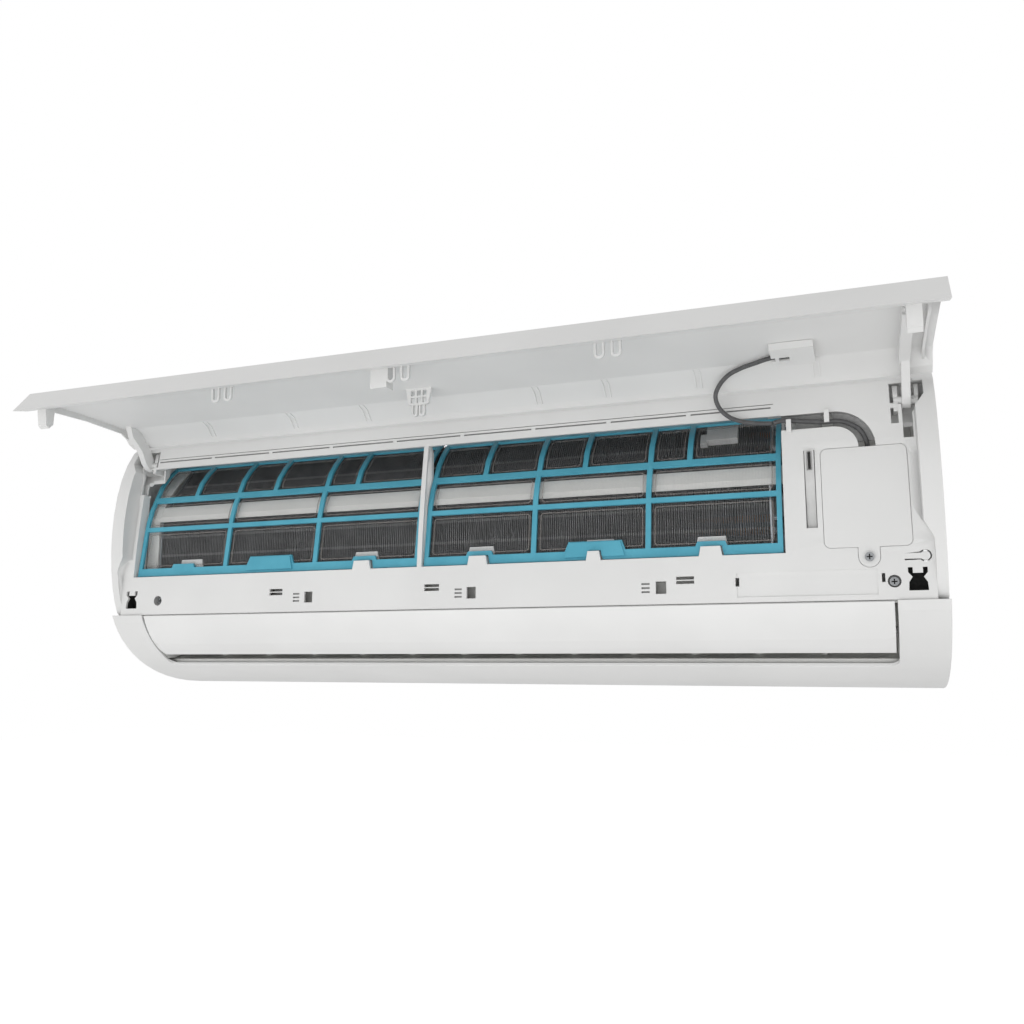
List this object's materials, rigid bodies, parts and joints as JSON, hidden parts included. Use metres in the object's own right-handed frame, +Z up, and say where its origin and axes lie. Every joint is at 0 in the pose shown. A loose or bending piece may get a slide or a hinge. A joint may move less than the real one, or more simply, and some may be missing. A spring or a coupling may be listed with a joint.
{
  "type": "mini split indoor unit",
  "caption": "Wall-hung mini split indoor unit with its front panel swung up, washable filters, finned coil, crossflow fan, louver and steering vanes.",
  "frame": {"origin": "middle of the mounting plate's back face, in the wall plane", "axes": "+X to the viewer's right along the unit, +Y into the wall, +Z up; the front faces -Y"},
  "size_m": [0.804, 0.335, 0.2835],
  "materials": {
    "case_white": "satin",
    "chassis_white": "matte",
    "filter_blue": "satin",
    "filter_net": "fine woven mesh",
    "coil_fins": "thin fins, dull",
    "galvanised": "galvanised, dull",
    "copper": "bare copper",
    "grey_plastic": "matte",
    "black_plastic": "matte",
    "board_green": "satin",
    "cable_grey": "matte",
    "screw_steel": "zinc plated"
  },
  "bodies": {
    "unit": {"mounting_plate": "galvanised", "rear_chassis": "chassis_white", "lower_case": "case_white", "front_case": "case_white", "outlet_duct": "grey_plastic", "louver_motor": "grey_plastic", "fan_bearing": "black_plastic", "fan_motor": "galvanised", "motor_clamp": "chassis_white", "evaporator_lower": "coil_fins", "evaporator_upper": "coil_fins", "evaporator_rear": "coil_fins", "coil_end_plate_left": "galvanised", "coil_end_plate_right": "copper", "coil_gap_strip": "case_white", "liquid_pipe": "copper", "gas_pipe": "copper", "electrical_box": "grey_plastic", "control_board": "board_green", "terminal_block": "black_plastic", "service_cover": "case_white", "cover_screw": "screw_steel", "case_screw_left": "screw_steel", "case_screw_right": "screw_steel", "sensor_clip": "grey_plastic", "room_sensor": "black_plastic", "air_sensor_box": "grey_plastic", "display_cable_loop": "cable_grey", "display_cable_run": "cable_grey"},
    "panel": {"front_panel": "case_white", "display_holder": "case_white", "display_board": "board_green"},
    "louver": {"louver": "case_white"},
    "fan": {"crossflow_fan": "black_plastic", "motor_shaft": "screw_steel"},
    "filter_left": {"filter_frame_left": "filter_blue", "filter_net_left": "filter_net"},
    "filter_right": {"filter_frame_right": "filter_blue", "filter_net_right": "filter_net"},
    "link_left": {"vane_link_left": "grey_plastic"},
    "link_right": {"vane_link_right": "grey_plastic"},
    "vane_01": {"vane_01": "grey_plastic"},
    "vane_02": {"vane_02": "grey_plastic"},
    "vane_03": {"vane_03": "grey_plastic"},
    "vane_04": {"vane_04": "grey_plastic"},
    "vane_05": {"vane_05": "grey_plastic"},
    "vane_06": {"vane_06": "grey_plastic"},
    "vane_07": {"vane_07": "grey_plastic"},
    "vane_08": {"vane_08": "grey_plastic"},
    "vane_09": {"vane_09": "grey_plastic"},
    "vane_10": {"vane_10": "grey_plastic"},
    "vane_11": {"vane_11": "grey_plastic"},
    "vane_12": {"vane_12": "grey_plastic"}
  },
  "joints": [
    {"name": "panel_hinge", "type": "hinge", "parent": "unit", "child": "panel", "pos_m": [0, -0.174, 0.0915], "axis": [1, 0, 0], "range_deg": [0, 86], "deforming": ["display_cable_loop"]},
    {"name": "louver_hinge", "type": "hinge", "parent": "unit", "child": "louver", "pos_m": [0, -0.159, -0.092], "axis": [1, 0, 0], "range_deg": [0, 70]},
    {"name": "fan_spin", "type": "hinge", "parent": "unit", "child": "fan", "pos_m": [0, -0.082, -0.024], "axis": [1, 0, 0], "continuous": true},
    {"name": "filter_left_lift", "type": "slide", "parent": "unit", "child": "filter_left", "axis": [0, 0, 1], "range_m": [0, 0.006]},
    {"name": "filter_right_lift", "type": "slide", "parent": "unit", "child": "filter_right", "axis": [0, 0, 1], "range_m": [0, 0.006]},
    {"name": "link_left_slide", "type": "slide", "parent": "unit", "child": "link_left", "axis": [1, 0, 0], "range_m": [-0.0052, 0.0052]},
    {"name": "link_right_slide", "type": "slide", "parent": "unit", "child": "link_right", "axis": [1, 0, 0], "range_m": [-0.0052, 0.0052]},
    {"name": "vane_01_turn", "type": "hinge", "parent": "unit", "child": "vane_01", "pos_m": [-0.30656, -0.125, -0.085], "axis": [0, 0, 1], "range_deg": [-30, 30]},
    {"name": "vane_02_turn", "type": "hinge", "parent": "unit", "child": "vane_02", "pos_m": [-0.25082, -0.125, -0.085], "axis": [0, 0, 1], "range_deg": [-30, 30]},
    {"name": "vane_03_turn", "type": "hinge", "parent": "unit", "child": "vane_03", "pos_m": [-0.19508, -0.125, -0.085], "axis": [0, 0, 1], "range_deg": [-30, 30]},
    {"name": "vane_04_turn", "type": "hinge", "parent": "unit", "child": "vane_04", "pos_m": [-0.13935, -0.125, -0.085], "axis": [0, 0, 1], "range_deg": [-30, 30]},
    {"name": "vane_05_turn", "type": "hinge", "parent": "unit", "child": "vane_05", "pos_m": [-0.08361, -0.125, -0.085], "axis": [0, 0, 1], "range_deg": [-30, 30]},
    {"name": "vane_06_turn", "type": "hinge", "parent": "unit", "child": "vane_06", "pos_m": [-0.02787, -0.125, -0.085], "axis": [0, 0, 1], "range_deg": [-30, 30]},
    {"name": "vane_07_turn", "type": "hinge", "parent": "unit", "child": "vane_07", "pos_m": [0.02787, -0.125, -0.085], "axis": [0, 0, 1], "range_deg": [-30, 30]},
    {"name": "vane_08_turn", "type": "hinge", "parent": "unit", "child": "vane_08", "pos_m": [0.08361, -0.125, -0.085], "axis": [0, 0, 1], "range_deg": [-30, 30]},
    {"name": "vane_09_turn", "type": "hinge", "parent": "unit", "child": "vane_09", "pos_m": [0.13935, -0.125, -0.085], "axis": [0, 0, 1], "range_deg": [-30, 30]},
    {"name": "vane_10_turn", "type": "hinge", "parent": "unit", "child": "vane_10", "pos_m": [0.19508, -0.125, -0.085], "axis": [0, 0, 1], "range_deg": [-30, 30]},
    {"name": "vane_11_turn", "type": "hinge", "parent": "unit", "child": "vane_11", "pos_m": [0.25082, -0.125, -0.085], "axis": [0, 0, 1], "range_deg": [-30, 30]},
    {"name": "vane_12_turn", "type": "hinge", "parent": "unit", "child": "vane_12", "pos_m": [0.30656, -0.125, -0.085], "axis": [0, 0, 1], "range_deg": [-30, 30]}
  ],
  "couplings": [
    {"joint": "vane_01_turn", "follows": "link_left_slide", "rad_per_m": -100},
    {"joint": "vane_02_turn", "follows": "link_left_slide", "rad_per_m": -100},
    {"joint": "vane_03_turn", "follows": "link_left_slide", "rad_per_m": -100},
    {"joint": "vane_04_turn", "follows": "link_left_slide", "rad_per_m": -100},
    {"joint": "vane_05_turn", "follows": "link_left_slide", "rad_per_m": -100},
    {"joint": "vane_06_turn", "follows": "link_left_slide", "rad_per_m": -100},
    {"joint": "vane_07_turn", "follows": "link_right_slide", "rad_per_m": -100},
    {"joint": "vane_08_turn", "follows": "link_right_slide", "rad_per_m": -100},
    {"joint": "vane_09_turn", "follows": "link_right_slide", "rad_per_m": -100},
    {"joint": "vane_10_turn", "follows": "link_right_slide", "rad_per_m": -100},
    {"joint": "vane_11_turn", "follows": "link_right_slide", "rad_per_m": -100},
    {"joint": "vane_12_turn", "follows": "link_right_slide", "rad_per_m": -100}
  ]
}
